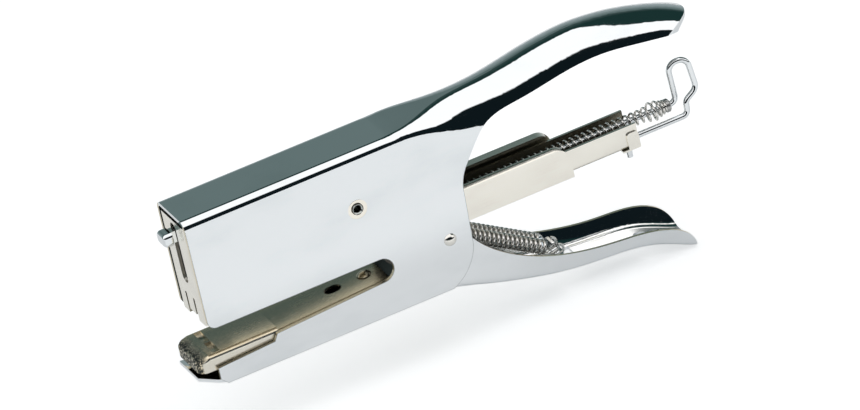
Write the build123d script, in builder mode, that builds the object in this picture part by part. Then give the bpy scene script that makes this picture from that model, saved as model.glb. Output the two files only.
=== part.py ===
from build123d import *
import os
from math import asin, atan2, cos, degrees, hypot, sin

# Plier stapler in millimetres. The origin is the centre of the main axle, +X runs to the
# handle tips, -X to the anvil nose, -Y is the near side and +Z is up.

os.makedirs("parts", exist_ok=True)

# Pressed frame: head, side plates, jaw walls and upper handle in one sheet
FRAME_SHEET = 1.2
HALF_WIDTH = 11.0
HEAD_FRONT = -58.0
HEAD_TOP = 19.2
HEAD_BOTTOM = -20.4
FOLD_RADIUS = 3.0
THROAT_RADIUS = 4.2
THROAT_CENTRE_X = 3.2
JAW_BOTTOM = -41.0
JAW_CHAMFER = 2.2
FRAME_INNER = HALF_WIDTH - FRAME_SHEET
SKIRT = -46.0
TIP_CENTRE_X = 110.0
TIP_LENGTH = 16.5
TIP_HALF = 10.7

# Pivots, as x and z in the side view
REAR_PIN = (28.0, -23.6)
REAR_PIN_RADIUS = 1.5
REAR_PIN_HEAD = 2.2
REAR_PIN_RISE = 1.3
AXLE_RADIUS = 2.0
AXLE_BORE = 1.3
RUNNING_FIT = 0.06
SEAT_GAP = 0.03

# Travel
SQUEEZE_ANGLE = 13.0

# Lower handle and drive arm
LEVER_SHEET = 1.0
CHEEK_OUTER = 9.5
CHEEK_INNER = CHEEK_OUTER - LEVER_SHEET
HANDLE_CORNER = 3.0
BOSS_RADIUS = 9.0
ARM_OUTER = CHEEK_INNER - 0.1
ARM_TOP = 13.0
ARM_FRONT = -44.0
ARM_RIVETS = [(-4.6, 4.6), (4.6, 4.6)]
ARM_RIVET_RADIUS = 1.2
TONGUE_HALF = 1.6
TONGUE_BOTTOM = 9.0
NUB_FRONT = -63.2
NUB_LENGTH = 3.4
NUB_WIDTH = 6.6
NUB_HEIGHT = 4.6
NUB_ROUND = 1.5
LANYARD_RADIUS = 3.0
LANYARD_X = 95.7

# Magazine, staple rail and driver
MAG_OUTER = 8.2
MAG_SHEET = 1.0
MAG_TOP = -10.1
MAG_BOTTOM = -21.8
MAG_FLOOR = 0.8
MAG_FRONT = -46.0
MAG_REAR = 75.0
MAG_LIP = 3.3
MAG_FOLD = 1.6
RAIL_OUTER = 5.8
RAIL_SHEET = 0.9
RAIL_BOTTOM = MAG_BOTTOM + MAG_FLOOR
RAIL_TOP = -13.0
RAIL_FRONT = -55.4
RAIL_REAR = 100.0
CLIP_LENGTH = 6.4
CLIP_TAB = 4.2
CLIP_TOP = -15.4
CLIP_SHEET = 0.6
GUIDE_SHEET = 1.0
GUIDE_TOP = 16.5
GUIDE_BOTTOM = -19.8
DRIVER_FRONT = -56.7
DRIVER_THICK = 0.8
DRIVER_HALF = 7.8
DRIVER_EDGE_HALF = 6.3
RAIL_RIVETS = [(-10.0, 0), (58.0, 0)]
RAIL_RIVET_RADIUS = 1.4

# Guide rod, follower spring and pusher
ROD_RADIUS = 1.0
ROD_Z = -14.8
LEG_Y = -3.6
LEG_Z = -18.8
HOOK_X = 96.5
HOOK_SLOT = 2.5
FOLLOWER_RADIUS = 2.5
FOLLOWER_WIRE = 0.6
FOLLOWER_BULGE = 3.5
BULGE_X = 108.6
BULGE_REACH = 4.0
PUSHER_FRONT = -54.5
PUSHER_REAR = -42.0
PUSHER_HEAD = 6.9
PUSHER_TOP = MAG_TOP - MAG_SHEET - 0.3
PUSHER_BLOCK = 3.4
SEAT_X = 112.8
SEAT_LENGTH = 1.8
SEAT_RADIUS = 2.3

# Return springs, between the rear pin and the lanced tab in the lower handle
SPRING_Y = 2.9
SPRING_RADIUS = 2.7
SPRING_WIRE = 0.8
SPRING_LOOP = 2.0
TAB_X = 65.0
TAB_HOLE_Z = -49.2
TAB_HOLE = 1.1
TAB_WIDTH = 12.4
TAB_HEIGHT = 6.6

# Jaw
JAW_CHANNEL_OUTER = FRAME_INNER - 0.05
JAW_SHEET = 1.2
JAW_WALL_TOP = -35.6
JAW_REAR = 12.0
JAW_TIP = -64.3
JAW_TIP_HALF = 7.4
JAW_TIP_RISE = 2.6
JAW_BEND_X = -56.5
JAW_RIVET_X = 0.4
JAW_RIVET_RADIUS = 1.5
ANVIL_TOP = -30.2
ANVIL_HALF = 9.6
ANVIL_CORNER = 3.2
ANVIL_ROUND = 1.6
ANVIL_REAR = -35.0
ANVIL_NOSE = -63.8
ANVIL_SHEET = 1.5
CLINCH_X = -56.3
CLINCH_WIDTH = 2.4
CLINCH_RADIUS = 7.7
CLINCH_DEPTH = 1.0
CLINCH_Y = 4.1
COVER_FRONT = ANVIL_REAR + 0.1
COVER_REAR = 6.0
COVER_SHEET = 1.0


def casing_section(x, half_width, crown, corner_y, corner_z, inset):
    """Arch across the frame at x: crown, two elliptical shoulders and two straight skirts."""
    wall = half_width - inset
    top = crown - inset
    shoulder = top - corner_z + inset
    flat = half_width - corner_y
    with BuildSketch(Plane.YZ.offset(x)) as section:
        with BuildLine():
            Polyline((-wall, shoulder), (-wall, SKIRT), (wall, SKIRT), (wall, shoulder))
            EllipticalCenterArc((flat, shoulder), wall - flat, top - shoulder, 0, arc_size=90)
            Line((flat, top), (-flat, top))
            EllipticalCenterArc((-flat, shoulder), wall - flat, top - shoulder, 90, arc_size=90)
        make_face()
    return section.sketch


def casing_solid(inset, overrun):
    """The frame's outer form moved inwards by inset, with its front end overrun mm longer."""
    with BuildPart() as casing:
        extrude(casing_section(*CASING[0], inset), amount=overrun + CASING[0][0] - HEAD_FRONT, dir=(-1, 0, 0))
        loft([casing_section(*station, inset) for station in CASING])
    return casing.part


# Stations from the square head to the rounded grip and its down-turned tip:
# x, half width, crown height, shoulder width, shoulder height
CASING = [
    (14.0, HALF_WIDTH, HEAD_TOP, FOLD_RADIUS, FOLD_RADIUS),
    (20.0, HALF_WIDTH, 19.45, 3.4, 3.4),
    (26.0, HALF_WIDTH, 19.9, 4.9, 4.8),
    (32.0, HALF_WIDTH, 20.4, 7.4, 7.6),
    (39.0, 11.2, 21.0, 9.8, 12.0),
    (46.0, 11.7, 21.4, 11.0, 14.9),
    (58.0, 12.5, 22.6, 12.0, 14.8),
    (69.0, 12.9, 24.6, 12.5, 14.4),
    (80.0, 12.8, 26.2, 12.4, 14.2),
    (88.0, 12.3, 26.7, 12.0, 13.0),
    (95.0, 11.8, 26.3, 11.5, 12.0),
    (103.0, 11.2, 25.2, 10.9, 11.2),
    (111.0, 10.6, 23.3, 10.3, 10.4),
    (119.0, 10.2, 20.7, 9.9, 9.4),
    (124.5, 9.9, 18.3, 9.6, 8.4),
    (129.0, 9.6, 15.8, 9.3, 7.4),
]
CASING_OUTSIDE = casing_solid(0.0, 0.0)
CASING_INSIDE = casing_solid(FRAME_SHEET, 2.0)

# Side view of the frame: throat, jaw, curved rear edge and the grip's lower edge
with BuildPart() as frame_shell:
    add(CASING_OUTSIDE)
    add(CASING_INSIDE, mode=Mode.SUBTRACT)
    with BuildSketch(Plane.XZ) as frame_side:
        with BuildLine():
            throat_low = HEAD_BOTTOM - 2 * THROAT_RADIUS
            Line((THROAT_CENTRE_X, HEAD_BOTTOM), (HEAD_FRONT, HEAD_BOTTOM))
            Polyline((HEAD_FRONT, HEAD_BOTTOM), (HEAD_FRONT, 30), (131, 30), (131, 12.2))
            Spline(
                (131, 12.2),
                (118, 14.2),
                (106.4, 16.4),
                (91.9, 18.6),
                (76.7, 17.7),
                (61.7, 15.0),
                (47.4, 10.6),
                (41.3, 3.0),
                (36.2, -10),
                tangents=[(-1, 0.1), (0, -1)],
            )
            Line((36.2, -10), (35.3, -28.5))
            ThreePointArc((35.3, -28.5), (32.4, -35.3), (25.5, JAW_BOTTOM))
            Polyline(
                (25.5, JAW_BOTTOM),
                (HEAD_FRONT + JAW_CHAMFER, JAW_BOTTOM),
                (HEAD_FRONT, JAW_BOTTOM + JAW_CHAMFER),
                (HEAD_FRONT, -34.6),
                (-37.4, -33.4),
                (-36.0, -31.0),
                (THROAT_CENTRE_X, throat_low),
            )
            ThreePointArc(
                (THROAT_CENTRE_X, throat_low),
                (THROAT_CENTRE_X + THROAT_RADIUS, HEAD_BOTTOM - THROAT_RADIUS),
                (THROAT_CENTRE_X, HEAD_BOTTOM),
            )
        make_face()
        front_corner = frame_side.vertices().sort_by_distance((HEAD_FRONT, HEAD_BOTTOM))[0]
        fillet(front_corner, radius=FOLD_RADIUS)
    extrude(amount=2 * HALF_WIDTH, both=True, mode=Mode.INTERSECT)
    with BuildSketch(Plane.XY.offset(JAW_BOTTOM)):
        with Locations((TIP_CENTRE_X, 0)):
            Rectangle(200, 4 * HALF_WIDTH, align=(Align.MAX, Align.CENTER))
            Ellipse(TIP_LENGTH, TIP_HALF)
    extrude(amount=-2 * JAW_BOTTOM, mode=Mode.INTERSECT)
    with BuildSketch(Plane.XZ):
        with Locations(REAR_PIN):
            Circle(REAR_PIN_RADIUS + SEAT_GAP)
    extrude(amount=2 * HALF_WIDTH, both=True, mode=Mode.SUBTRACT)
    for side in (-1, 1):
        plate = Plane((0, side * HALF_WIDTH, 0), x_dir=(1, 0, 0), z_dir=(0, side, 0))
        with Locations(plate):
            CounterSinkHole(AXLE_RADIUS + SEAT_GAP, 3.3, depth=2 * FRAME_SHEET, counter_sink_angle=150)
frame_shell.part.label = "frame_shell"
export_step(frame_shell.part, "parts/frame_shell.step")

# Tubular main axle, rolled over at both ends
with BuildPart() as pivot_axle:
    with BuildSketch(Plane.XZ):
        Circle(AXLE_RADIUS)
        Circle(AXLE_BORE, mode=Mode.SUBTRACT)
    extrude(amount=HALF_WIDTH + 0.1, both=True)
    chamfer(pivot_axle.edges().filter_by(GeomType.CIRCLE).group_by(SortBy.RADIUS)[0], length=0.25)
pivot_axle.part.label = "pivot_axle"
export_step(pivot_axle.part, "parts/pivot_axle.step")


def dome(radius, rise):
    """Radius of the sphere under a rivet's domed head, and the angle from its pole to the rim."""
    sphere = (radius**2 + rise**2) / (2 * rise)
    return sphere, degrees(asin(radius / sphere))


# Rear pin with domed heads, the stop of the lower handle and the pivot of the magazine
with BuildPart() as rear_pin:
    with BuildSketch(Plane.XY.offset(REAR_PIN[1])):
        with BuildLine():
            sphere, spread = dome(REAR_PIN_HEAD, REAR_PIN_RISE)
            seat = HALF_WIDTH + SEAT_GAP
            pole = seat + REAR_PIN_RISE - sphere
            shank = REAR_PIN[0] + REAR_PIN_RADIUS
            far_head = CenterArc((REAR_PIN[0], pole), sphere, 90, -spread)
            near_head = CenterArc((REAR_PIN[0], -pole), sphere, -90, spread)
            Polyline(far_head @ 1, (shank, seat), (shank, -seat), near_head @ 1)
            Line(near_head @ 0, far_head @ 0)
        make_face()
    revolve(axis=Axis((REAR_PIN[0], 0, REAR_PIN[1]), (0, 1, 0)))
rear_pin.part.label = "rear_pin"
export_step(rear_pin.part, "parts/rear_pin.step")

# Jaw channel: floor between the side plates, with a tongue that rises under the anvil nose
with BuildPart() as jaw_channel:
    with BuildSketch(Plane.XZ):
        with BuildLine():
            tip_low = JAW_BOTTOM + JAW_TIP_RISE
            Polyline(
                (JAW_REAR, JAW_BOTTOM),
                (JAW_BEND_X, JAW_BOTTOM),
                (JAW_TIP, tip_low),
                (JAW_TIP, tip_low + JAW_SHEET),
                (JAW_BEND_X, JAW_BOTTOM + JAW_SHEET),
                (JAW_REAR, JAW_BOTTOM + JAW_SHEET),
                close=True,
            )
        make_face()
    extrude(amount=JAW_CHANNEL_OUTER, both=True)
    with BuildSketch(Plane.XY.offset(JAW_BOTTOM)):
        with BuildLine():
            half = JAW_CHANNEL_OUTER
            Polyline(
                (JAW_REAR, -half),
                (HEAD_FRONT - 0.5, -half),
                (JAW_TIP, -JAW_TIP_HALF),
                (JAW_TIP, JAW_TIP_HALF),
                (HEAD_FRONT - 0.5, half),
                (JAW_REAR, half),
                close=True,
            )
        make_face()
    extrude(amount=-JAW_BOTTOM, mode=Mode.INTERSECT)
    for side in (-1, 1):
        with BuildSketch(Plane.XY.offset(JAW_BOTTOM)):
            with Locations((-23, side * (JAW_CHANNEL_OUTER - JAW_SHEET / 2))):
                Rectangle(62, JAW_SHEET)
        extrude(amount=JAW_WALL_TOP - JAW_BOTTOM)
    with BuildSketch(Plane.XY):
        with Locations((JAW_RIVET_X, 0)):
            Circle(JAW_RIVET_RADIUS + SEAT_GAP)
    extrude(amount=2 * JAW_BOTTOM, mode=Mode.SUBTRACT)
jaw_channel.part.label = "jaw_channel"
export_step(jaw_channel.part, "parts/jaw_channel.step")

# Anvil: hollow steel pressing with a sloped, rounded nose and two clinching grooves
with BuildPart() as anvil:
    with BuildSketch(Plane.XZ):
        with BuildLine():
            Polyline(
                (ANVIL_NOSE, JAW_WALL_TOP),
                (ANVIL_REAR, JAW_WALL_TOP),
                (ANVIL_REAR, ANVIL_TOP),
                (-59.6, ANVIL_TOP),
                (ANVIL_NOSE, -31.4),
                close=True,
            )
        make_face()
    extrude(amount=ANVIL_HALF, both=True)
    fillet(anvil.edges().filter_by(Axis.Z).group_by(Axis.X)[0], radius=ANVIL_CORNER)
    rim = anvil.faces().sort_by(Axis.Z)[-2:].edges().filter_by(lambda e: e.center().X < ANVIL_REAR - 0.1)
    fillet(rim.filter_by(lambda e: abs(e.center().Y) > 0.1 or e.center().X < -62), radius=ANVIL_ROUND)
    with BuildSketch(Plane.XY.offset(JAW_WALL_TOP)):
        with BuildLine():
            inner = ANVIL_HALF - ANVIL_SHEET
            Polyline(
                (ANVIL_REAR, -inner),
                (-59, -inner),
                (-62.2, -4.6),
                (-62.2, 4.6),
                (-59, inner),
                (ANVIL_REAR, inner),
                close=True,
            )
        make_face()
    extrude(amount=ANVIL_TOP - ANVIL_SHEET - 1.2 - JAW_WALL_TOP, mode=Mode.SUBTRACT)
    with BuildSketch(Plane.YZ.offset(CLINCH_X - CLINCH_WIDTH / 2)):
        groove_centre = ANVIL_TOP - CLINCH_DEPTH + CLINCH_RADIUS
        with Locations((-CLINCH_Y, groove_centre), (CLINCH_Y, groove_centre)):
            Circle(CLINCH_RADIUS)
    extrude(amount=CLINCH_WIDTH, mode=Mode.SUBTRACT)
anvil.part.label = "anvil"
export_step(anvil.part, "parts/anvil.step")

# Cover plate of the jaw behind the anvil, folded down at both sides, with an oval hole
with BuildPart() as jaw_cover:
    with BuildSketch(Plane.XZ):
        with BuildLine():
            Polyline(
                (COVER_FRONT, -34.2),
                (COVER_REAR, -34.2),
                (COVER_REAR, -29.3),
                (COVER_FRONT, -31.3),
                close=True,
            )
        make_face()
    extrude(amount=ANVIL_HALF, both=True)
    fillet(jaw_cover.faces().sort_by(Axis.Z)[-1].edges().filter_by(GeomType.LINE).sort_by(Axis.Y)[0], 1.6)
    fillet(jaw_cover.edges().filter_by(GeomType.LINE).group_by(SortBy.LENGTH)[-1].sort_by(Axis.Z)[-1], 1.6)
    with BuildSketch(Plane.XZ):
        with BuildLine():
            Polyline(
                (COVER_FRONT, -35),
                (COVER_REAR, -35),
                (COVER_REAR, -29.3 - COVER_SHEET),
                (COVER_FRONT, -31.3 - COVER_SHEET),
                close=True,
            )
        make_face()
    extrude(amount=ANVIL_HALF - 1.2, both=True, mode=Mode.SUBTRACT)
    with BuildSketch(Plane.XY):
        with Locations((-11, 0)):
            SlotOverall(6.0, 4.6)
        with Locations((JAW_RIVET_X, 0)):
            Circle(JAW_RIVET_RADIUS + SEAT_GAP)
    extrude(amount=JAW_BOTTOM, mode=Mode.SUBTRACT)
jaw_cover.part.label = "jaw_cover"
export_step(jaw_cover.part, "parts/jaw_cover.step")

# Rivet that ties the cover plate to the jaw floor, with a shouldered shank
with BuildPart() as cover_rivet:
    with BuildSketch(Plane.XZ):
        with BuildLine():
            sphere, spread = dome(2.5, 1.2)
            head = CenterArc((JAW_RIVET_X, -28.2 - sphere), sphere, 90, -spread)
            shank = JAW_RIVET_X + JAW_RIVET_RADIUS
            collar = shank + 0.7
            jaw_floor = JAW_BOTTOM + JAW_SHEET
            Polyline(head @ 1, (shank, -29.4), (shank, -31.0), (collar, -31.0), (collar, jaw_floor))
            Polyline((collar, jaw_floor), (shank, jaw_floor), (shank, JAW_BOTTOM))
            Polyline((shank, JAW_BOTTOM), (JAW_RIVET_X, JAW_BOTTOM), head @ 0)
        make_face()
    revolve(axis=Axis((JAW_RIVET_X, 0, 0), (0, 0, 1)))
cover_rivet.part.label = "cover_rivet"
export_step(cover_rivet.part, "parts/cover_rivet.step")


def channel_section(x, floor_half, floor, lean, inset):
    """Channel across the lower handle at x: floor, two rounded corners and two walls that lean outwards."""
    bottom = floor + inset
    rise = BOSS_RADIUS + 6 - bottom
    base = floor_half + lean * inset - inset * hypot(1, lean)
    with BuildSketch(Plane.YZ.offset(x)) as section:
        with BuildLine():
            Polyline(
                (-base, bottom),
                (base, bottom),
                (base + lean * rise, bottom + rise),
                (-base - lean * rise, bottom + rise),
                close=True,
            )
        make_face()
        fillet(section.vertices().group_by(Axis.Y)[0], radius=HANDLE_CORNER - inset)
    return section.sketch


def channel_solid(inset, overrun):
    """The lower handle's outer form moved inwards by inset, with its front end overrun mm longer."""
    with BuildPart() as channel:
        extrude(channel_section(*CHEEKS[0], inset), amount=30 + overrun, dir=(-1, 0, 0))
        loft([channel_section(*station, inset) for station in CHEEKS], ruled=True)
        loft([channel_section(*station, inset) for station in CHANNEL])
    return channel.part


# Stations of the lower handle, first along its upright cheeks and then along its flared grip:
# x, half width of the floor, floor height, outward lean of the walls
CHEEKS = [
    (16.0, CHEEK_OUTER, -40.8, 0.0),
    (26.0, CHEEK_OUTER, -42.4, 0.0),
    (34.0, CHEEK_OUTER, -44.8, 0.0),
]
CHANNEL = [
    CHEEKS[-1],
    (42.0, 9.35, -47.5, 0.01),
    (51.0, 8.75, -50.2, 0.1),
    (61.0, 8.0, -52.7, 0.27),
    (78.0, 7.6, -54.9, 0.38),
    (90.0, 7.6, -55.9, 0.42),
    (101.0, 7.7, -59.0, 0.42),
    (110.5, 8.2, -63.0, 0.42),
]
CHANNEL_OUTSIDE = channel_solid(0.0, 0.0)
CHANNEL_INSIDE = channel_solid(LEVER_SHEET, 2.0)
PIN_REACH = hypot(*REAR_PIN)
PIN_ANGLE = degrees(atan2(REAR_PIN[1], REAR_PIN[0]))
PIN_TRACK = CenterArc((0, 0), PIN_REACH, PIN_ANGLE + 0.8, -(SQUEEZE_ANGLE + 1.6))

# Lower handle: chrome channel whose walls run forward as cheeks to the main axle
with BuildPart() as lower_handle:
    add(CHANNEL_OUTSIDE)
    add(CHANNEL_INSIDE, mode=Mode.SUBTRACT)
    with BuildSketch(Plane.XZ):
        with BuildLine():
            boss_front = (BOSS_RADIUS * cos(3.6), BOSS_RADIUS * sin(3.6))
            boss_rear = (BOSS_RADIUS * cos(0.8), BOSS_RADIUS * sin(0.8))
            ThreePointArc(boss_rear, (-BOSS_RADIUS * cos(0.8), BOSS_RADIUS * sin(0.8)), boss_front)
            Spline(boss_front, (9.4, -21), (11, -32), (20, -38.8), tangents=[(0.4, -0.9), (1, -0.4)])
            Polyline((20, -38.8), (20, -66), (110.5, -66), (110.5, -61.6))
            Spline(
                (110.5, -61.6),
                (107.6, -55.8),
                (97.6, -50.7),
                (83.5, -49.0),
                (69.6, -46.8),
                (57.7, -43.2),
                (43.3, -35.0),
                (35.6, -26.5),
            )
            Line((35.6, -26.5), boss_rear)
        make_face()
    extrude(amount=2 * HALF_WIDTH, both=True, mode=Mode.INTERSECT)
    with BuildSketch(Plane.XZ):
        Circle(AXLE_RADIUS + RUNNING_FIT)
        SlotArc(PIN_TRACK, 2 * REAR_PIN_RADIUS + 0.8)
        with Locations(ARM_RIVETS):
            Circle(ARM_RIVET_RADIUS)
    extrude(amount=2 * HALF_WIDTH, both=True, mode=Mode.SUBTRACT)
    with BuildSketch(Plane.XY.offset(-40)):
        with Locations((LANYARD_X, 0)):
            Circle(LANYARD_RADIUS)
        with Locations((TAB_X + 4.2, 0)):
            Rectangle(6.4, 13.4)
    extrude(amount=-30, mode=Mode.SUBTRACT)
    with BuildSketch(Plane.YZ.offset(TAB_X)):
        with Locations((0, TAB_HOLE_Z)):
            RectangleRounded(TAB_WIDTH, TAB_HEIGHT, 1.6)
        with Locations((-SPRING_Y, TAB_HOLE_Z), (SPRING_Y, TAB_HOLE_Z)):
            Circle(TAB_HOLE, mode=Mode.SUBTRACT)
    extrude(amount=LEVER_SHEET)
lower_handle.part.label = "lower_handle"
export_step(lower_handle.part, "parts/lower_handle.step")

# Drive arm: inverted channel over the magazine, with a tongue that ends in a rounded nub
with BuildPart() as drive_arm:
    with BuildSketch(Plane.XZ):
        with BuildLine():
            Polyline(
                (9, ARM_TOP),
                (9, -2),
                (5, -6.5),
                (-6, -6.5),
                (ARM_FRONT, 2.5),
                (ARM_FRONT, ARM_TOP),
                close=True,
            )
        make_face()
    extrude(amount=ARM_OUTER, both=True)
    fillet(drive_arm.faces().sort_by(Axis.Z)[-1].edges().filter_by(Axis.X), radius=2.0)
    with BuildSketch(Plane.XZ):
        with Locations((0, ARM_TOP - LEVER_SHEET - 20)):
            Rectangle(120, 40)
    extrude(amount=ARM_OUTER - LEVER_SHEET, both=True, mode=Mode.SUBTRACT)
    with BuildSketch(Plane.XZ):
        with BuildLine():
            tongue_end = NUB_FRONT + NUB_LENGTH / 2
            Polyline(
                (-34, ARM_TOP),
                (-34, TONGUE_BOTTOM),
                (tongue_end, TONGUE_BOTTOM),
                (tongue_end, ARM_TOP),
                close=True,
            )
        make_face()
    extrude(amount=TONGUE_HALF, both=True)
    with BuildSketch(Plane.YZ.offset(NUB_FRONT)):
        with Locations((0, (ARM_TOP + TONGUE_BOTTOM) / 2)):
            RectangleRounded(NUB_WIDTH, NUB_HEIGHT, NUB_ROUND)
    extrude(amount=NUB_LENGTH)
    fillet(drive_arm.faces().sort_by(Axis.X)[0].edges(), radius=NUB_ROUND - 0.1)
    with BuildSketch(Plane.XZ):
        Circle(AXLE_RADIUS + RUNNING_FIT)
        with Locations(ARM_RIVETS):
            Circle(ARM_RIVET_RADIUS)
    extrude(amount=2 * HALF_WIDTH, both=True, mode=Mode.SUBTRACT)
drive_arm.part.label = "drive_arm"
export_step(drive_arm.part, "parts/drive_arm.step")

# Four flush rivets that join the drive arm to the handle's cheeks
with BuildPart() as arm_rivets:
    for side in (-1, 1):
        with BuildSketch(Plane.XZ.offset(side * (ARM_OUTER - LEVER_SHEET))):
            with Locations(ARM_RIVETS):
                Circle(ARM_RIVET_RADIUS - SEAT_GAP)
        extrude(amount=side * (CHEEK_OUTER - ARM_OUTER + LEVER_SHEET))
        with BuildSketch(Plane.XZ.offset(side * (ARM_OUTER - LEVER_SHEET))):
            with Locations(ARM_RIVETS):
                Circle(2.1)
        extrude(amount=-side * 0.7)
arm_rivets.part.label = "arm_rivets"
export_step(arm_rivets.part, "parts/arm_rivets.step")

# Spacer sleeve on the axle, between the walls of the drive arm
with BuildPart() as axle_spacer:
    with BuildSketch(Plane.XZ):
        Circle(3.4)
        Circle(AXLE_RADIUS + RUNNING_FIT, mode=Mode.SUBTRACT)
    extrude(amount=ARM_OUTER - LEVER_SHEET - 0.05, both=True)
axle_spacer.part.label = "axle_spacer"
export_step(axle_spacer.part, "parts/axle_spacer.step")

# Return springs: closed coil body, a neck and a loop at each end
SPRING_START = (REAR_PIN[0], REAR_PIN[1])
SPRING_END = (TAB_X + LEVER_SHEET / 2, TAB_HOLE_Z + SPRING_LOOP)
SPRING_LENGTH = hypot(SPRING_END[0] - SPRING_START[0], SPRING_END[1] - SPRING_START[1])
SPRING_DIRECTION = (
    (SPRING_END[0] - SPRING_START[0]) / SPRING_LENGTH,
    0,
    (SPRING_END[1] - SPRING_START[1]) / SPRING_LENGTH,
)
for name, side in (("near", -1), ("far", 1)):
    start = Vector(SPRING_START[0], side * SPRING_Y, SPRING_START[1])
    axis = Plane(start, x_dir=(0, 1, 0), z_dir=SPRING_DIRECTION)
    with BuildPart() as return_spring:
        with BuildSketch(axis.offset(6.0)):
            Circle(SPRING_RADIUS)
        extrude(amount=SPRING_LENGTH - 12.0)
        with BuildSketch(axis.offset(7.0)):
            Circle(SPRING_RADIUS - SPRING_WIRE)
        extrude(amount=SPRING_LENGTH - 14.0, mode=Mode.SUBTRACT)
        with BuildSketch(axis.offset(SPRING_LOOP)):
            Circle(SPRING_WIRE / 2)
        extrude(amount=4.4)
        with BuildSketch(axis.offset(SPRING_LENGTH - SPRING_LOOP)):
            Circle(SPRING_WIRE / 2)
        extrude(amount=-4.4)
        with Locations(Plane(start, x_dir=(1, 0, 0), z_dir=(0, 1, 0))):
            Torus(SPRING_LOOP, SPRING_WIRE / 2)
        end = start + Vector(SPRING_DIRECTION) * SPRING_LENGTH
        with Locations(Plane(end, x_dir=(1, 0, 0), z_dir=(0, 1, 0))):
            Torus(SPRING_LOOP, SPRING_WIRE / 2)
    return_spring.part.label = f"return_spring_{name}"
    export_step(return_spring.part, f"parts/return_spring_{name}.step")

# Magazine channel: floor, walls and lips folded in over the staples, with ears for the rear pin
with BuildPart() as magazine_channel:
    with BuildSketch(Plane.YZ.offset(MAG_FRONT)) as magazine_section:
        with BuildLine():
            wall = MAG_OUTER - MAG_SHEET
            lip = MAG_OUTER - MAG_LIP
            Polyline(
                (-MAG_OUTER, MAG_BOTTOM),
                (MAG_OUTER, MAG_BOTTOM),
                (MAG_OUTER, MAG_TOP),
                (lip, MAG_TOP),
                (lip, MAG_TOP - MAG_SHEET),
                (wall, MAG_TOP - MAG_SHEET),
                (wall, RAIL_BOTTOM),
                (-wall, RAIL_BOTTOM),
                (-wall, MAG_TOP - MAG_SHEET),
                (-lip, MAG_TOP - MAG_SHEET),
                (-lip, MAG_TOP),
                (-MAG_OUTER, MAG_TOP),
                close=True,
            )
        make_face()
        outer_corners = magazine_section.vertices().filter_by(lambda v: abs(v.X) > MAG_OUTER - 0.1)
        fillet(outer_corners.filter_by(lambda v: v.Y < RAIL_BOTTOM), radius=0.9)
        fillet(outer_corners.filter_by(lambda v: v.Y > RAIL_BOTTOM), radius=MAG_FOLD)
        inner_corners = magazine_section.vertices().filter_by(lambda v: abs(abs(v.X) - wall) < 0.01)
        fillet(inner_corners.filter_by(lambda v: v.Y > RAIL_TOP), radius=MAG_FOLD - MAG_SHEET)
    extrude(amount=MAG_REAR - MAG_FRONT)
    with BuildSketch(Plane.XZ):
        with BuildLine():
            Line((MAG_REAR - 5, MAG_TOP), (MAG_REAR, MAG_TOP))
            Line((MAG_REAR, MAG_TOP), (MAG_REAR, MAG_TOP - 5))
            TangentArc((MAG_REAR, MAG_TOP - 5), (MAG_REAR - 5, MAG_TOP), tangent=(0, 1))
        make_face()
    extrude(amount=HALF_WIDTH, both=True, mode=Mode.SUBTRACT)
    for side in (-1, 1):
        with BuildSketch(Plane.XZ.offset(side * (MAG_OUTER - MAG_SHEET))):
            with Locations(REAR_PIN):
                Circle(4.2)
            with Locations((REAR_PIN[0], RAIL_BOTTOM)):
                Rectangle(14, 3.0)
        extrude(amount=side * MAG_SHEET)
    with BuildSketch(Plane.XZ):
        with Locations(REAR_PIN):
            Circle(REAR_PIN_RADIUS + RUNNING_FIT)
    extrude(amount=HALF_WIDTH, both=True, mode=Mode.SUBTRACT)
    with BuildSketch(Plane.XY.offset(MAG_BOTTOM)):
        with Locations((REAR_PIN[0], 0)):
            RectangleRounded(9, 12, 2)
    extrude(amount=MAG_FLOOR, mode=Mode.SUBTRACT)
magazine_channel.part.label = "magazine_channel"
export_step(magazine_channel.part, "parts/magazine_channel.step")

# Driver guide: slotted front plate with folded flanges that lap over the magazine's walls
with BuildPart() as driver_guide:
    with BuildSketch(Plane.XZ):
        with BuildLine():
            Polyline(
                (HEAD_FRONT, GUIDE_BOTTOM),
                (HEAD_FRONT, GUIDE_TOP),
                (-54, GUIDE_TOP),
                (-48, -4),
                (-42, -11),
                (-38, -13),
                (-38, GUIDE_BOTTOM),
                close=True,
            )
        make_face()
    extrude(amount=MAG_OUTER + GUIDE_SHEET, both=True)
    fillet(driver_guide.faces().sort_by(Axis.X)[0].edges().filter_by(Axis.Z), radius=1.2)
    with BuildSketch(Plane.XZ):
        with Locations((HEAD_FRONT + GUIDE_SHEET, 0)):
            Rectangle(40, 60, align=(Align.MIN, Align.CENTER))
    extrude(amount=MAG_OUTER, both=True, mode=Mode.SUBTRACT)
    with BuildSketch(Plane.YZ.offset(HEAD_FRONT - 1)):
        with Locations((0, 4.1)):
            SlotOverall(22.2, 4.4, rotation=90)
        with Locations((-3.1, GUIDE_BOTTOM), (3.1, GUIDE_BOTTOM)):
            SlotOverall(16.4, 1.3, rotation=90)
        with Locations((0, GUIDE_BOTTOM)):
            Rectangle(5.4, 3.6)
    extrude(amount=3, mode=Mode.SUBTRACT)
driver_guide.part.label = "driver_guide"
export_step(driver_guide.part, "parts/driver_guide.step")

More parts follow.
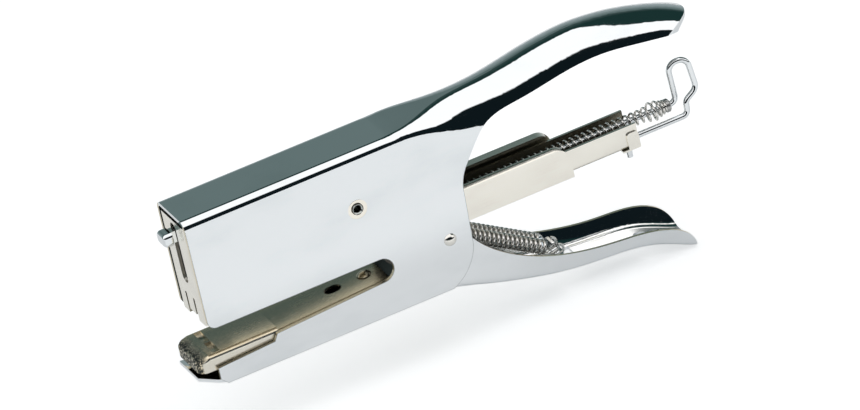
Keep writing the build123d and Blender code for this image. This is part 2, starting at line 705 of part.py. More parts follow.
# Staple rail: open channel that the staples straddle, with an open slot for the rod's hook
with BuildPart() as staple_rail:
    with BuildSketch(Plane.YZ.offset(RAIL_FRONT)) as rail_section:
        with BuildLine():
            inside = RAIL_OUTER - RAIL_SHEET
            floor = RAIL_BOTTOM + RAIL_SHEET
            Polyline(
                (-RAIL_OUTER, RAIL_TOP),
                (-RAIL_OUTER, RAIL_BOTTOM),
                (RAIL_OUTER, RAIL_BOTTOM),
                (RAIL_OUTER, RAIL_TOP),
                (inside, RAIL_TOP),
                (inside, floor),
                (-inside, floor),
                (-inside, RAIL_TOP),
                close=True,
            )
        make_face()
        bottom_corners = rail_section.vertices().group_by(Axis.Y)[0]
        fillet(bottom_corners, radius=1.3)
    extrude(amount=RAIL_REAR - RAIL_FRONT)
    with BuildSketch(Plane.XY.offset(RAIL_BOTTOM - 1)):
        with Locations((RAIL_REAR, LEG_Y)):
            Rectangle(2 * (RAIL_REAR - HOOK_X + HOOK_SLOT / 2), HOOK_SLOT)
    extrude(amount=2.2, mode=Mode.SUBTRACT)
    with BuildSketch(Plane.XY.offset(RAIL_BOTTOM - 1)):
        with Locations(RAIL_RIVETS):
            Circle(RAIL_RIVET_RADIUS)
    extrude(amount=2.2, mode=Mode.SUBTRACT)
staple_rail.part.label = "staple_rail"
export_step(staple_rail.part, "parts/staple_rail.step")

# Clip pressed over the rear end of the rail: a floor strap with a short rounded tab at each side
with BuildPart() as rail_end_clip:
    with BuildSketch(Plane.YZ.offset(RAIL_REAR - CLIP_LENGTH)):
        with BuildLine():
            clip = RAIL_OUTER + CLIP_SHEET
            low = RAIL_BOTTOM - CLIP_SHEET
            Polyline(
                (-clip, CLIP_TOP),
                (-clip, low),
                (clip, low),
                (clip, CLIP_TOP),
                (RAIL_OUTER, CLIP_TOP),
                (RAIL_OUTER, RAIL_BOTTOM),
                (-RAIL_OUTER, RAIL_BOTTOM),
                (-RAIL_OUTER, CLIP_TOP),
                close=True,
            )
        make_face()
    extrude(amount=CLIP_LENGTH)
    with BuildSketch(Plane.XZ):
        with Locations((RAIL_REAR - CLIP_TAB, RAIL_BOTTOM)):
            Rectangle(CLIP_LENGTH, 2 * CLIP_LENGTH, align=(Align.MAX, Align.MIN))
    extrude(amount=HALF_WIDTH, both=True, mode=Mode.SUBTRACT)
    fillet(rail_end_clip.edges().filter_by(Axis.Y).group_by(Axis.Z)[-1], radius=1.3)
    with BuildSketch(Plane.XY.offset(RAIL_BOTTOM - 2)):
        with Locations((RAIL_REAR, LEG_Y)):
            Rectangle(2 * (RAIL_REAR - HOOK_X + HOOK_SLOT / 2), HOOK_SLOT)
    extrude(amount=2.5, mode=Mode.SUBTRACT)
rail_end_clip.part.label = "rail_end_clip"
export_step(rail_end_clip.part, "parts/rail_end_clip.step")

# Two headed studs that hold the rail down on the floor of the magazine
with BuildPart() as rail_rivets:
    with BuildSketch(Plane.XY.offset(RAIL_BOTTOM)):
        with Locations(RAIL_RIVETS):
            Circle(RAIL_RIVET_RADIUS - SEAT_GAP)
    extrude(amount=RAIL_SHEET)
    with BuildSketch(Plane.XY.offset(RAIL_BOTTOM + RAIL_SHEET)):
        with Locations(RAIL_RIVETS):
            Circle(2.2)
    extrude(amount=0.4)
rail_rivets.part.label = "rail_rivets"
export_step(rail_rivets.part, "parts/rail_rivets.step")

# Driver blade: thin steel blade behind the front plate, with a window for the arm's tongue
with BuildPart() as driver_blade:
    with BuildSketch(Plane.YZ.offset(DRIVER_FRONT)) as blade_face:
        with BuildLine():
            Polyline(
                (-DRIVER_EDGE_HALF, -12.9),
                (DRIVER_EDGE_HALF, -12.9),
                (DRIVER_EDGE_HALF, -9),
                (DRIVER_HALF, -6),
                (DRIVER_HALF, 15.5),
                (-DRIVER_HALF, 15.5),
                (-DRIVER_HALF, -6),
                (-DRIVER_EDGE_HALF, -9),
                close=True,
            )
        make_face()
        fillet(blade_face.vertices().group_by(Axis.Y)[-1], radius=1.5)
        with Locations((0, 11.1)):
            RectangleRounded(4.4, 5.4, 0.6, mode=Mode.SUBTRACT)
    extrude(amount=DRIVER_THICK)
driver_blade.part.label = "driver_blade"
export_step(driver_blade.part, "parts/driver_blade.step")

# Guide rod: one wire with a lock hook, a finger loop and the long rod inside the spring
ROD_ROUTE = [
    (HOOK_X, LEG_Y, -25.0),
    (HOOK_X, LEG_Y, LEG_Z),
    (118.8, LEG_Y, LEG_Z),
    (119.4, LEG_Y + 0.5, -14.0),
    (124.2, LEG_Y + 1.4, -11.6),
    (123.5, -0.9, -0.4),
    (116.8, -0.3, -0.6),
    (117.2, 0, ROD_Z),
    (PUSHER_REAR - 2, 0, ROD_Z),
]
ROD_BENDS = [1.7, 2.0, 2.0, 3.2, 3.2, 3.2, 2.2]


with BuildPart() as guide_rod:
    with BuildLine() as rod_path:
        FilletPolyline(*ROD_ROUTE, radius=ROD_BENDS)
    with BuildSketch(Plane(rod_path.line @ 0, z_dir=rod_path.line % 0)):
        Circle(ROD_RADIUS)
    sweep()
guide_rod.part.label = "guide_rod"
export_step(guide_rod.part, "parts/guide_rod.step")

# Collar crimped on the rod, the rear seat of the follower spring
with BuildPart() as spring_seat:
    with BuildSketch(Plane.YZ.offset(SEAT_X)):
        with Locations((0, ROD_Z)):
            Circle(SEAT_RADIUS)
            Circle(ROD_RADIUS + SEAT_GAP, mode=Mode.SUBTRACT)
    extrude(amount=SEAT_LENGTH)
    chamfer(spring_seat.edges().filter_by(GeomType.CIRCLE).group_by(SortBy.RADIUS)[-1], length=0.4)
spring_seat.part.label = "spring_seat"
export_step(spring_seat.part, "parts/spring_seat.step")

# Follower spring as its closed coil envelope, with a fatter part before the seat
with BuildPart() as follower_spring:
    with BuildSketch(Plane.XZ):
        with BuildLine():
            outer = ROD_Z + FOLLOWER_RADIUS
            inner = outer - FOLLOWER_WIRE
            swell = FOLLOWER_BULGE - FOLLOWER_RADIUS
            rise = BULGE_X - BULGE_REACH
            Line((PUSHER_REAR, inner), (PUSHER_REAR, outer))
            Line((PUSHER_REAR, outer), (rise, outer))
            Spline((rise, outer), (BULGE_X, outer + swell), (SEAT_X, outer), tangents=[(1, 0), (1, 0)])
            Line((SEAT_X, outer), (SEAT_X, inner))
            Spline((SEAT_X, inner), (BULGE_X, inner + swell), (rise, inner), tangents=[(-1, 0), (-1, 0)])
            Line((rise, inner), (PUSHER_REAR, inner))
        make_face()
    revolve(axis=Axis((0, 0, ROD_Z), (1, 0, 0)))
follower_spring.part.label = "follower_spring"
export_step(follower_spring.part, "parts/follower_spring.step")

# Pusher: block inside the rail with a wide head above it, sliding on the guide rod
with BuildPart() as pusher:
    with BuildSketch(Plane.YZ.offset(PUSHER_FRONT)):
        with BuildLine():
            head_low = RAIL_TOP + 0.3
            block_low = RAIL_BOTTOM + RAIL_SHEET + 1.7
            Polyline(
                (-PUSHER_HEAD, PUSHER_TOP),
                (-PUSHER_HEAD, head_low),
                (-PUSHER_BLOCK, head_low),
                (-PUSHER_BLOCK, block_low),
                (PUSHER_BLOCK, block_low),
                (PUSHER_BLOCK, head_low),
                (PUSHER_HEAD, head_low),
                (PUSHER_HEAD, PUSHER_TOP),
                close=True,
            )
        make_face()
        with Locations((0, ROD_Z)):
            Circle(ROD_RADIUS + 0.1, mode=Mode.SUBTRACT)
    extrude(amount=PUSHER_REAR - PUSHER_FRONT)
    fillet(pusher.faces().sort_by(Axis.Z)[-1].edges().filter_by(Axis.X), radius=0.5)
pusher.part.label = "pusher"
export_step(pusher.part, "parts/pusher.step")
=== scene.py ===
"""A chrome plier stapler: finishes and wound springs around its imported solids, in metres."""

import bpy
import numpy as np
from mathutils import Matrix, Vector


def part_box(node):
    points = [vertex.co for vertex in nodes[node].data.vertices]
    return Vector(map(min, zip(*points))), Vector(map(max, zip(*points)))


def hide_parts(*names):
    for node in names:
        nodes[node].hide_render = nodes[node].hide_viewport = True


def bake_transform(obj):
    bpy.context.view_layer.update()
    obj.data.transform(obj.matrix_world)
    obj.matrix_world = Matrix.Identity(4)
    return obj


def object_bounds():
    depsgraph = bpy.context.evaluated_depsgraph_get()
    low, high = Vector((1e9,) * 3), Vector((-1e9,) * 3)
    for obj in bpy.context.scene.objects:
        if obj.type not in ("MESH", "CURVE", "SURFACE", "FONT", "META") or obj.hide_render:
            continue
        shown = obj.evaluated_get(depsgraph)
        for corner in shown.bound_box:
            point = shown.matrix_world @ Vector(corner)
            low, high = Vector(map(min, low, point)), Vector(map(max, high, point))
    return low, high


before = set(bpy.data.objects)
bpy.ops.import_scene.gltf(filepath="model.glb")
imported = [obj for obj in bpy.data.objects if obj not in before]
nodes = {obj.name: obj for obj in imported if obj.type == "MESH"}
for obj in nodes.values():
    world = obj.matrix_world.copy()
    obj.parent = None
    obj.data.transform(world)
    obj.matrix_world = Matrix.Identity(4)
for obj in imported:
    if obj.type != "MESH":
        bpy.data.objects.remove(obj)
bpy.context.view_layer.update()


# Frame: one steel sheet folded into the head, the side plates, the jaw walls and the upper grip.
# It is polished and chromed as a whole, and its sheared edges keep a warmer, duller plating.
class Shade:
    """A socket of a node tree. Arithmetic on it adds Math nodes, and node() adds any other node."""

    def __init__(self, tree, socket):
        self.tree = tree
        self.socket = socket

    def node(self, kind, settings, inputs, output=0):
        """Adds a node: its settings first, then its inputs, each a plain value or another Shade."""
        made = self.tree.nodes.new(kind)
        for name, value in settings.items():
            if name == "stops":
                ramp = made.color_ramp
                while len(ramp.elements) < len(value):
                    ramp.elements.new(0.5)
                for element, (position, colour) in zip(ramp.elements, value):
                    element.position = position
                    element.color = (*colour, 1)
            else:
                setattr(made, name, value)
        for key, value in inputs.items():
            if isinstance(value, Shade):
                self.tree.links.new(value.socket, made.inputs[key])
            else:
                made.inputs[key].default_value = value
        return Shade(self.tree, made.outputs[output]) if made.outputs else None

    def math(self, operation, *values):
        return self.node("ShaderNodeMath", {"operation": operation}, dict(enumerate(values)))

    def __add__(self, other):
        return self.math("ADD", self, other)

    def __sub__(self, other):
        return self.math("SUBTRACT", self, other)

    def __rsub__(self, other):
        return self.math("SUBTRACT", other, self)

    def __mul__(self, other):
        return self.math("MULTIPLY", self, other)

    def __truediv__(self, other):
        return self.math("DIVIDE", self, other)

    def __abs__(self):
        return self.math("ABSOLUTE", self)

    __radd__ = __add__
    __rmul__ = __mul__

    def step(self, low, high):
        """0 below low, 1 above high and a smooth rise between; low above high turns it round."""
        rise = {"interpolation_type": "SMOOTHSTEP"}
        return self.node("ShaderNodeMapRange", rise, {0: self, "From Min": low, "From Max": high})

    def mix(self, dark, light):
        """The colour dark where this is 0 and light where it is 1."""
        colours = {
            name: (*colour, 1) if isinstance(colour, tuple) else colour
            for name, colour in ((6, dark), (7, light))
        }
        return self.node("ShaderNodeMix", {"data_type": "RGBA"}, {0: self, **colours}, 2)

    def noise(self, size, detail=2.0):
        """Noise whose grains measure size in metres along X, Y and Z."""
        scale = tuple(1 / length for length in size)
        spread = self.node("ShaderNodeMapping", {}, {"Vector": self, "Scale": scale})
        return self.node("ShaderNodeTexNoise", {}, {"Vector": spread, "Scale": 1.0, "Detail": detail})

    def axis(self, letter):
        return self.node("ShaderNodeSeparateXYZ", {}, {0: self}, "XYZ".index(letter))


def metal(name):
    """A new metal; returns the material, its shader, its Object coordinates and its normals."""
    made = bpy.data.materials.new(name)
    made.use_nodes = True
    tree = made.node_tree
    shader = tree.nodes["Principled BSDF"]
    shader.inputs["Metallic"].default_value = 1.0
    start = tree.nodes.new("ShaderNodeTexCoord")
    return made, shader, Shade(tree, start.outputs["Object"]), Shade(tree, start.outputs["Normal"])


FLAT_FROM = 0.998
FLAT_FULL = 0.9995


def flatness(normal):
    """1 on the flat plates, whose normals lie along Y."""
    return abs(normal.axis("Y")).step(FLAT_FROM, FLAT_FULL)


def finish_metal(shader, colour, roughness, height):
    """Links a colour, a roughness and a surface height in metres. Flat plates take their own plane's
    normal, so that the sunk rim of a hole doesn't shade them."""
    shape = height.tree.nodes.new("ShaderNodeNewGeometry")
    smooth = Shade(height.tree, shape.outputs["Normal"])
    plane = Shade(height.tree, shape.outputs["True Normal"])
    flat = flatness(plane)
    base = flat.node("ShaderNodeMix", {"data_type": "VECTOR"}, {0: flat, 4: smooth, 5: plane}, 1)
    relief = {"Strength": 1.0, "Distance": 1.0, "Height": height, "Normal": base}
    bump = height.node("ShaderNodeBump", {}, relief)
    for name, value in (("Base Color", colour), ("Roughness", roughness), ("Normal", bump)):
        value.tree.links.new(value.socket, shader.inputs[name])


def axle_distance(place):
    """The distance from the Y axis, on which the main axle lies."""
    x = place.axis("X")
    z = place.axis("Z")
    square = x * x + z * z
    return square.math("SQRT", square)


INWARD_FROM = -0.001
INWARD_FULL = -0.003


def inner_walls(place, facing):
    """1 on walls that face the mid plane, where the place and the normal differ in sign along Y."""
    return (place.axis("Y") * facing.axis("Y")).step(INWARD_FROM, INWARD_FULL)


CHROME = (0.86, 0.885, 0.9)
CHROME_SMEARED = (0.8, 0.83, 0.845)
SMEAR_GRAIN = (0.03, 0.03, 0.012)
SCRATCH_GRAIN = (0.009, 0.00012, 0.00012)
WAVE_GRAIN = (0.02, 0.02, 0.02)
WAVE_DEPTH = 0.00003
EDGE_PLATING = (0.78, 0.7, 0.53)
EDGE_BLEND = 0.0001
INNER_SHADE = (0.03, 0.038, 0.036)
SHADE_AND_OIL_DARK = (0.09, 0.085, 0.075)
FRONT_SHADE_BLEND = 0.003
SINK_CREAM = (0.97, 0.92, 0.82)
SINK_BLEND = 0.0003
SINK_SLOPE = 0.26
PLATE_OUTSIDE = 0.0104
PLATE_BLEND = 0.0002
FLOOR_PAINTED_HIGHLIGHT = (0.98, 0.98, 0.97)
FLOOR_HALF = 0.0062
RIM_SHADE = (0.3, 0.32, 0.32)
RIM_SAMPLES = 6


def chrome(name, edge_from=1.0, inside=0.0, shaded_to=-1.0, sunk_to=0.0, trough=0.0, rim=0.0):
    """Mirror plating with slow pressing waves, faint smears and hairline scratches along X.
    Sheared edges, which lie past edge_from metres from the mid plane and don't face Y, are dull and
    warm. With inside 1, walls turned to the mid plane are rougher and carry a painted shade, near
    black.
    What lies in front of shaded_to along X is rougher and carries a painted shade. A sink around the Y
    axis, sunk_to metres in radius, is burnished level and cream; SINK_SLOPE times the way in from its
    rim is what levels it. Floors that face up are less polished and dished: their height rises by
    trough times the way from the mid plane, up to FLOOR_HALF from it, and their near-white colour is a
    painted highlight. Flat plates carry a painted shade, a dark line, within about rim metres of their
    cut edges."""
    made, shader, place, facing = metal(name)
    aside = abs(place.axis("Y"))
    upward = facing.axis("Z")
    smear = place.noise(SMEAR_GRAIN, 4).step(0.45, 0.75)
    scratch = place.noise(SCRATCH_GRAIN, 2).step(0.68, 0.74)
    edge = aside.step(edge_from - EDGE_BLEND, edge_from) * abs(facing.axis("Y")).step(0.4, 0.3)
    # Walls turned to the mid plane: painted shade, near black, on rougher plating.
    inner_shade = inside * inner_walls(place, facing)
    # Painted shade, dark and rougher, on what lies in front of the given X.
    shade_and_oil = place.axis("X").step(shaded_to, shaded_to - FRONT_SHADE_BLEND)
    way_in = sunk_to - axle_distance(place)
    sink = way_in.step(0.0, SINK_BLEND) * aside.step(PLATE_OUTSIDE, PLATE_OUTSIDE + PLATE_BLEND)
    # Up-facing floors: rougher and dished, with a near-white painted highlight.
    floor = float(trough > 0) * upward.step(0.3, 0.6) * (1 - edge)
    plated = floor.mix(sink.mix(smear.mix(CHROME, CHROME_SMEARED), SINK_CREAM), FLOOR_PAINTED_HIGHLIGHT)
    colour = shade_and_oil.mix(inner_shade.mix(edge.mix(plated, EDGE_PLATING), INNER_SHADE), SHADE_AND_OIL_DARK)
    # Painted shade: a dark line along the flat plates' cut edges, where parts meet.
    if rim:
        rounded = place.node("ShaderNodeBevel", {"samples": RIM_SAMPLES}, {"Radius": rim})
        cut = flatness(facing) * (1 - abs(rounded.axis("Y"))).step(0.01, 0.06)
        colour = cut.mix(colour, RIM_SHADE)
    polish = 0.04 + 0.05 * smear + 0.06 * scratch
    roughness = polish + 0.22 * edge + 0.3 * inner_shade + 0.2 * shade_and_oil + 0.1 * floor
    waves = WAVE_DEPTH * (place.noise(WAVE_GRAIN, 1) - 0.01 * scratch)
    level = sink * SINK_SLOPE * way_in
    dish = trough * upward.step(0.45, 0.55) * aside.math("MINIMUM", aside, FLOOR_HALF)
    finish_metal(shader, colour, roughness, waves + level + dish)
    return made


def wear(node, material):
    """Gives a CAD node its material."""
    nodes[node].data.materials.clear()
    nodes[node].data.materials.append(material)


# The frame's walls turned to the mid plane and the rims of its flat plates carry painted shade.
frame_chrome = chrome("frame_chrome", edge_from=0.0097, inside=1.0, sunk_to=0.0035, rim=0.0004)
wear("frame_shell", frame_chrome)

# Axle and rear pin: a bright tube rolled over in a shallow sink of the side plates, and a turned pin
# with polished domed heads. The bore of the tube carries a painted shade.
AXLE_STEEL = (0.5, 0.52, 0.5)
AXLE_BORE = 0.0011
AXLE_RIM = 0.00165
PIN_NICKEL = (0.84, 0.82, 0.77)
RING_GRAIN = (0.003, 0.0003, 0.003)
PATCH_GRAIN = (0.0012, 0.0012, 0.0012)
FINE_DEPTH = 0.000004


def turned(name, colour, shaded_within=0.0, oiled_past=1.0):
    """Turned steel: fine rings, a painted shade within shaded_within metres of the Y axis, in the bore,
    and dark oiled patches past oiled_past metres from it."""
    made, shader, place, _ = metal(name)
    radius = axle_distance(place)
    # Painted shade in the bore.
    bore = radius.step(shaded_within, shaded_within * 0.92)
    patches = place.noise(PATCH_GRAIN, 2).step(0.35, 0.5)
    rim = radius.step(oiled_past, oiled_past * 1.08) * patches
    shade_and_oil = radius.math("MAXIMUM", bore, rim)
    rings = place.noise(RING_GRAIN, 2)
    roughness = 0.1 + 0.08 * rings + 0.4 * shade_and_oil
    finish_metal(shader, shade_and_oil.mix(colour, SHADE_AND_OIL_DARK), roughness, FINE_DEPTH * rings)
    return made


wear("pivot_axle", turned("axle_steel", AXLE_STEEL, AXLE_BORE, AXLE_RIM))
wear("rear_pin", turned("pin_nickel", PIN_NICKEL))

# Jaw: a chromed channel floor, a nickelled anvil with a rough cast nose, and a nickelled cover
# plate behind it, held by one domed rivet. Their rounded edges carry a painted highlight in tan, and
# their flanges a painted reflection in cream.
wear("jaw_channel", chrome("jaw_chrome"))
OLIVE_NICKEL = (0.62, 0.57, 0.45)
TAN_HIGHLIGHT = (0.82, 0.72, 0.53)
TAN_FROM = 0.0045
TAN_FULL = 0.0085
CREAM_FLANGE_REFLECTION = (0.84, 0.8, 0.7)
SCALE_BLACK = (0.06, 0.065, 0.06)
NOSE_X = -0.0605
NOSE_BLEND = 0.003
JAW_CLOUD_GRAIN = (0.012, 0.006, 0.006)
JAW_LINE_GRAIN = (0.02, 0.0005, 0.0005)
PIT_GRAIN = (0.0007, 0.0007, 0.0007)
PIT_DEPTH = 0.00015


def jaw_nickel(name):
    """Dull olive nickel with drawn lines along X, a painted highlight in tan along both rolled edges
    and a painted reflection in cream on the flanges. Black pits crowd in front of NOSE_X."""
    made, shader, place, facing = metal(name)
    cloud = place.noise(JAW_CLOUD_GRAIN, 3)
    lines = place.noise(JAW_LINE_GRAIN, 3)
    # Lighter tan along both rounded edges: a painted highlight.
    tan = abs(place.axis("Y")).step(TAN_FROM, TAN_FULL) * (0.5 + lines)
    flange = abs(facing.axis("Y")).step(0.75, 0.9)
    ragged = place.axis("X") + 0.004 * cloud
    nose = ragged.step(NOSE_X + NOSE_BLEND, NOSE_X) * (1 - flange)
    pitted = place.noise(PIT_GRAIN, 3).step(0.41, 0.5) * nose
    # Cream on the faces that face Y: a painted reflection of the pale table.
    nickel_with_highlights = flange.mix(tan.mix(OLIVE_NICKEL, TAN_HIGHLIGHT), CREAM_FLANGE_REFLECTION)
    roughness = 0.17 + 0.12 * cloud + 0.06 * lines + 0.3 * pitted
    height = PIT_DEPTH * (0.1 * cloud + 0.03 * lines - pitted)
    finish_metal(shader, pitted.mix(nickel_with_highlights, SCALE_BLACK), roughness, height)
    return made


jaw_finish = jaw_nickel("jaw_nickel")
for node in ("anvil", "jaw_cover", "cover_rivet"):
    wear(node, jaw_finish)

# Lower handle and drive arm: chromed pressings, joined by flush rivets around a spacer on the axle.
# The arm's tongue comes out of the head as a rounded nub. Its rivets and spacer, the driver blade, the
# rail's rivets and the spring's seat are plain steel.
# The front of the lower handle, which lies inside the head, carries a painted shade.
# The lower handle's up-facing floors carry a near-white painted highlight.
wear("lower_handle", chrome("handle_chrome", edge_from=0.0084, shaded_to=0.022, trough=0.84))
wear("drive_arm", chrome("arm_chrome"))
STEEL = (0.55, 0.55, 0.54)
DRAWN_GRAIN = (0.02, 0.0003, 0.0003)


def bright_steel(name, colour, dulled):
    """Plain drawn or blanked steel, rougher by dulled, with fine, slightly darker lines along X."""
    made, shader, place, _ = metal(name)
    lines = place.noise(DRAWN_GRAIN, 3)
    darker = tuple(0.75 * part for part in colour)
    roughness = 0.2 + dulled + 0.2 * lines
    finish_metal(shader, lines.mix(darker, colour), roughness, FINE_DEPTH * lines)
    return made


plain_steel = bright_steel("plain_steel", STEEL, 0.0)
for node in ("arm_rivets", "axle_spacer", "rail_rivets", "driver_blade", "spring_seat"):
    wear(node, plain_steel)

# Magazine: nickelled channel, front guide, rail, end clip and pusher. The strip is rolled before
# plating, so its warm satin has fine lines along its length.
CREAM_NICKEL = (0.97, 0.935, 0.85)
GREY_NICKEL = (0.86, 0.825, 0.75)
STRIP_LINE_GRAIN = (0.04, 0.0004, 0.0004)
STRIP_CLOUD_GRAIN = (0.015, 0.008, 0.008)
STRIP_RELIEF = 0.000006
INNER_SHADE_NICKEL = (0.3, 0.28, 0.22)
INNER_FLOOR = -0.0165
INNER_BLEND = 0.001
LIP_START = -0.0054
LIP_WIDTH = 0.0028
LIP_ROLL = 0.0015


def strip_nickel(name, rolled):
    """Satin nickel with rolling lines along X and soft grey clouds. Walls turned to the mid plane and
    floors below INNER_FLOOR are rougher and carry a painted shade, dark. The near lip falls off
    as the square of the distance past LIP_START, by rolled metres in LIP_WIDTH."""
    made, shader, place, facing = metal(name)
    lines = place.noise(STRIP_LINE_GRAIN, 3)
    cloud = place.noise(STRIP_CLOUD_GRAIN, 3).step(0.4, 0.7)
    # Walls turned to the mid plane and low floors: painted shade on rougher nickel.
    wall = inner_walls(place, facing)
    low = place.axis("Z").step(INNER_FLOOR, INNER_FLOOR - INNER_BLEND)
    inner_shade = wall.math("MAXIMUM", wall, facing.axis("Z").step(0.5, 0.7) * low)
    outer = (0.5 * cloud + 0.3 * lines).mix(CREAM_NICKEL, GREY_NICKEL)
    past = (LIP_START - place.axis("Y")) / LIP_WIDTH
    roll = past.math("MAXIMUM", past, 0.0)
    height = STRIP_RELIEF * (lines + 2 * cloud) - rolled * roll * roll
    roughness = 0.16 + 0.14 * lines + 0.15 * inner_shade
    finish_metal(shader, inner_shade.mix(outer, INNER_SHADE_NICKEL), roughness, height)
    return made


wear("magazine_channel", strip_nickel("lip_nickel", LIP_ROLL))
strip_finish = strip_nickel("strip_nickel", 0.0)
for node in ("driver_guide", "staple_rail", "rail_end_clip", "pusher"):
    wear(node, strip_finish)

# Return springs: two drawn steel wires wound side by side, with a loop around the rear pin and a
# loop through the lanced tab of the lower handle. Each stands for its closed CAD envelope.
WIRE_STEEL = (0.97, 0.95, 0.91)
RETURN_DULLED = -0.1
SPRING_Y = 0.0029
COIL_RADIUS = 0.0022
WIRE_RADIUS = 0.0005
LOOP_RADIUS = 0.002
COIL_PITCH = 0.0017
COIL_INSET = 0.0056
TURN_POINTS = 32
LOOP_POINTS = 40
LOOP_FROM = 300
LOOP_TO = 90
WIRE_STEP = 0.00022
ROUNDING = 7
PIN_CENTRE = np.array((0.028, 0, -0.0236))
TAB_LOOP = np.array((0.0655, 0, -0.0472))


def tube(name, path, radius, sides=10):
    """A round wire along path. A normal is carried from point to point, always the part of the last
    one that is square to the path, so the rings don't twist; both ends are capped."""
    tangent = np.gradient(path, axis=0)
    tangent /= np.linalg.norm(tangent, axis=1, keepdims=True)
    first = np.empty_like(path)
    normal = np.eye(3)[np.argmin(np.abs(tangent[0]))]
    for step, direction in enumerate(tangent):
        normal = normal - direction * (normal @ direction)
        normal /= np.linalg.norm(normal)
        first[step] = normal
    second = np.cross(tangent, first)
    turn = np.linspace(0, 2 * np.pi, sides, endpoint=False)[None, :, None]
    around = np.cos(turn) * first[:, None] + np.sin(turn) * second[:, None]
    rings = path[:, None] + radius * around
    count = len(path)
    ring, side = np.meshgrid(np.arange(count - 1), np.arange(sides), indexing="ij")
    following = (side + 1) % sides
    quads = np.stack(
        (
            ring * sides + side,
            ring * sides + following,
            (ring + 1) * sides + following,
            (ring + 1) * sides + side,
        ),
        axis=-1,
    )
    faces = quads.reshape(-1, 4).tolist()
    faces.append(list(range(sides))[::-1])
    faces.append(list(range((count - 1) * sides, count * sides)))
    mesh = bpy.data.meshes.new(name)
    mesh.from_pydata(rings.reshape(-1, 3).tolist(), [], faces)
    mesh.polygons.foreach_set("use_smooth", np.ones(len(mesh.polygons), bool))
    made = bpy.data.objects.new(name, mesh)
    bpy.context.scene.collection.objects.link(made)
    return made


along = TAB_LOOP - PIN_CENTRE
spring_length = np.linalg.norm(along)
along /= spring_length
sideways = np.array((0.0, 1.0, 0.0))
upright = np.cross(sideways, along)


def spring_path(side):
    """Loop, coil and loop in one line. The coil turns about the line between the two loop centres. Each
    loop is the arc from LOOP_FROM to LOOP_TO degrees in the mid plane of the coil, and a straight neck
    joins it to the top of the coil. Points are spaced evenly, WIRE_STEP apart, and a running mean over
    ROUNDING of them rounds the corners."""
    coil_end = spring_length - COIL_INSET
    turns = round((coil_end - COIL_INSET) / COIL_PITCH)
    angle = 2 * np.pi * turns * np.linspace(0, 1, turns * TURN_POINTS)
    coil = np.stack(
        (
            np.linspace(COIL_INSET, coil_end, turns * TURN_POINTS),
            COIL_RADIUS * np.sin(angle),
            COIL_RADIUS * np.cos(angle),
        ),
        axis=1,
    )
    bow = np.radians(np.linspace(LOOP_FROM, LOOP_TO, LOOP_POINTS))
    loop = LOOP_RADIUS * np.stack((np.cos(bow), 0 * bow, np.sin(bow)), axis=1)
    far_loop = loop[::-1] * (-1, 1, 1) + (spring_length, 0, 0)
    corners = np.concatenate((loop, coil, far_loop))
    lengths = np.linalg.norm(np.diff(corners, axis=0), axis=1)
    reach = np.concatenate(([0], np.cumsum(lengths)))
    even = np.arange(0, reach[-1], WIRE_STEP)
    line = np.stack([np.interp(even, reach, column) for column in corners.T], axis=1)
    padded = np.pad(line, ((ROUNDING // 2, ROUNDING // 2), (0, 0)), "edge")
    mean = np.full(ROUNDING, 1 / ROUNDING)
    soft = np.stack([np.convolve(column, mean, "valid") for column in padded.T], axis=1)
    return PIN_CENTRE + side * SPRING_Y * sideways + soft @ np.stack((along, sideways, upright))


return_wire = bright_steel("return_wire", WIRE_STEEL, RETURN_DULLED)
for name, side in (("return_spring_near", -1), ("return_spring_far", 1)):
    spring = tube(name + "_coil", spring_path(side), WIRE_RADIUS)
    spring.data.materials.append(return_wire)
    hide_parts(name)
    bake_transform(spring)

# Guide rod and follower spring: a chromed wire bent into a finger loop, and one long thin wire over
# it, open wound, with a few fat turns before its closed end at the finger loop. The spring pushes the
# staples forward.
wear("guide_rod", chrome("rod_chrome"))
FOLLOWER_RADIUS = 0.0021
FOLLOWER_WIRE = 0.0004
FOLLOWER_PITCH = 0.0022
CLOSED_PITCH = 0.0008
BULGE_X = 0.1086
BULGE_HALF = 0.004
BULGE_RISE = 0.001
ROD_Z = -0.0148
FOLLOWER_POINTS = 2400
FOLLOWER_SIDES = 8
FOLLOWER_DULLED = -0.12
follower_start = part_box("pusher")[1].x
follower_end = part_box("follower_spring")[1].x
station = np.linspace(follower_start, follower_end, FOLLOWER_POINTS)
closed = np.clip((station - BULGE_X) / (follower_end - BULGE_X), 0, 1)
pitch = FOLLOWER_PITCH + (CLOSED_PITCH - FOLLOWER_PITCH) * closed
angle = np.cumsum(2 * np.pi / pitch) * (station[1] - station[0])
bulge = BULGE_RISE * np.cos(np.clip((station - BULGE_X) / BULGE_HALF, -1, 1) * np.pi / 2) ** 2
coil_radius = FOLLOWER_RADIUS + bulge
turns = np.stack((station, coil_radius * np.cos(angle), ROD_Z + coil_radius * np.sin(angle)), axis=1)
follower = tube("follower_spring_coil", turns, FOLLOWER_WIRE, FOLLOWER_SIDES)
follower.data.materials.append(bright_steel("follower_wire", WIRE_STEEL, FOLLOWER_DULLED))
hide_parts("follower_spring")
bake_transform(follower)

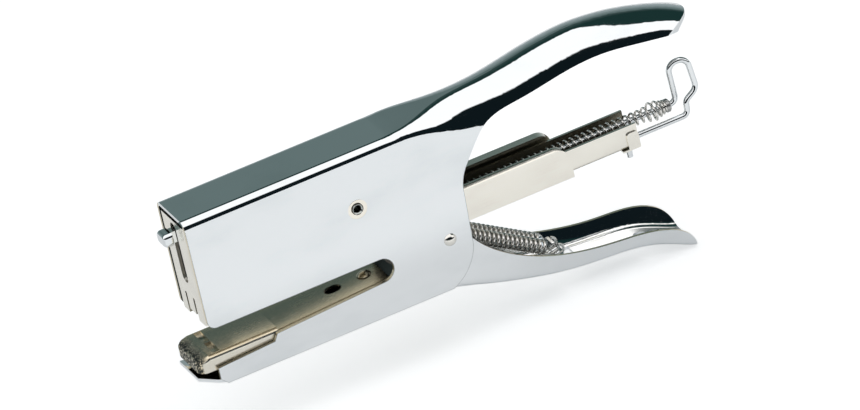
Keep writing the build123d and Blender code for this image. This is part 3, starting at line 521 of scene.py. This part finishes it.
# Studio: a pale table, a wide white ceiling cloth that starts behind the photographer's head, a black
# gap under it and a slate wall beyond the table. The cloth's edges slant towards the rear. The camera
# itself sees only white.
TABLE_GAP = 0.0005
TABLE_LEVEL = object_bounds()[0].z - TABLE_GAP
TABLE_HALF = 6.0
PAPER = (0.88, 0.89, 0.9)
SEEN_GLOW = 0.52
MIRRORED_GLOW = 0.14
NEAR_PAINTED_GLOW = 0.18
NEAR_FROM = -0.065
NEAR_FULL = -0.1
table = bpy.data.meshes.new("table")
table.from_pydata(
    [(x * TABLE_HALF, y * TABLE_HALF, TABLE_LEVEL) for x, y in ((-1, -1), (1, -1), (1, 1), (-1, 1))],
    [],
    [(0, 1, 2, 3)],
)
table_top = bpy.data.objects.new("table", table)
bpy.context.scene.collection.objects.link(table_top)
paper = bpy.data.materials.new("table_paper")
paper.use_nodes = True
paper.node_tree.nodes.clear()
light_path = paper.node_tree.nodes.new("ShaderNodeLightPath")
seen = Shade(paper.node_tree, light_path.outputs["Is Camera Ray"])
mirrored = Shade(paper.node_tree, light_path.outputs["Is Glossy Ray"])
spot = Shade(paper.node_tree, paper.node_tree.nodes.new("ShaderNodeTexCoord").outputs["Object"])
# Glossy rays see the table brighter on the camera's side and darker near the object: a painted shade of
# the object on the table.
near = spot.axis("Y").step(NEAR_FROM, NEAR_FULL)
rays = SEEN_GLOW * seen + (MIRRORED_GLOW + NEAR_PAINTED_GLOW * near) * mirrored
matt = rays.node("ShaderNodeBsdfDiffuse", {}, {"Color": (*PAPER, 1)})
glow = rays.node("ShaderNodeEmission", {}, {"Color": (1, 1, 1, 1), "Strength": rays})
both = rays.node("ShaderNodeAddShader", {}, {0: matt, 1: glow})
both.node("ShaderNodeOutputMaterial", {}, {"Surface": both})
table.materials.append(paper)

world = bpy.data.worlds.new("studio")
bpy.context.scene.world = world
world.use_nodes = True
sky = world.node_tree
sky.nodes.clear()
towards = Shade(sky, sky.nodes.new("ShaderNodeTexCoord").outputs["Generated"])
BLACK = (0.004, 0.008, 0.01)
GREEN_BLACK = (0.01, 0.03, 0.028)
DARK_SLATE = (0.035, 0.06, 0.058)
SLATE = (0.12, 0.165, 0.163)
PALE_SLATE = (0.17, 0.215, 0.215)
PALE_WALL = (0.34, 0.39, 0.4)
WHITE = (1.0, 1.0, 1.0)
CLOTH_SIDE = 0.26
CLOTH_END = 0.75
NEAR_SLANT = 0.13
FAR_SLANT = 0.4
SLANT_FROM = 0.2
SLANT_FULL = 0.5
WALL_START = 0.7
CLOTH_STRENGTH = 1.15
# A band's place is its share of the half turn overhead, from the near horizon at 0 to the far one at 1.
bands = [
    (0.0, BLACK),
    (0.245, BLACK),
    (0.26, WHITE),
    (0.668, WHITE),
    (0.682, GREEN_BLACK),
    (0.73, GREEN_BLACK),
    (0.79, DARK_SLATE),
    (0.832, SLATE),
    (0.85, SLATE),
    (0.875, PALE_SLATE),
    (1.0, PALE_WALL),
]
turn = towards.math("ARCTAN2", towards.axis("Z"), -1 * towards.axis("Y")) / np.pi
aside = towards.axis("X").step(CLOTH_SIDE, CLOTH_END)
slant = NEAR_SLANT + (FAR_SLANT - NEAR_SLANT) * turn.step(SLANT_FROM, SLANT_FULL)
slanted = turn + aside * slant
shifted = turn.math("MAXIMUM", turn, slanted.math("MINIMUM", slanted, WALL_START))
cloth = shifted.node("ShaderNodeValToRGB", {"stops": bands}, {0: shifted})
direct = Shade(sky, sky.nodes.new("ShaderNodeLightPath").outputs["Is Camera Ray"])
colour = direct.mix(cloth, WHITE)
strength = CLOTH_STRENGTH + (1 - CLOTH_STRENGTH) * direct
light = colour.node("ShaderNodeBackground", {}, {"Color": colour, "Strength": strength})
light.node("ShaderNodeOutputWorld", {}, {"Surface": light})

# Camera: the photograph's viewing angle, from above the near side and a little to the front, turned
# so that the head points down to the left. The picture is taken to be PICTURE_WIDTH pixels wide.
PICTURE_WIDTH = 860
PIXELS_PER_METRE = 3120
LENS_PIXELS = 16000
SENSOR = 36.0
CLIP_END = 100
AIM = np.array((0.0265, -0.0038, -0.013))
RIGHT = np.array((0.8869, -0.4147, -0.2029))
UP = np.array((0.3689, 0.3724, 0.8516))
back = np.cross(RIGHT, UP)
lens = bpy.data.cameras.new("camera")
lens.sensor_width = SENSOR
lens.lens = SENSOR * LENS_PIXELS / PICTURE_WIDTH
lens.clip_end = CLIP_END
camera = bpy.data.objects.new("camera", lens)
bpy.context.scene.collection.objects.link(camera)
stand = np.eye(4)
stand[:3] = np.column_stack((RIGHT, UP, back, AIM + back * LENS_PIXELS / PIXELS_PER_METRE))
camera.matrix_world = Matrix(stand.tolist())
bpy.context.scene.camera = camera
bpy.context.scene.view_settings.view_transform = "Standard"
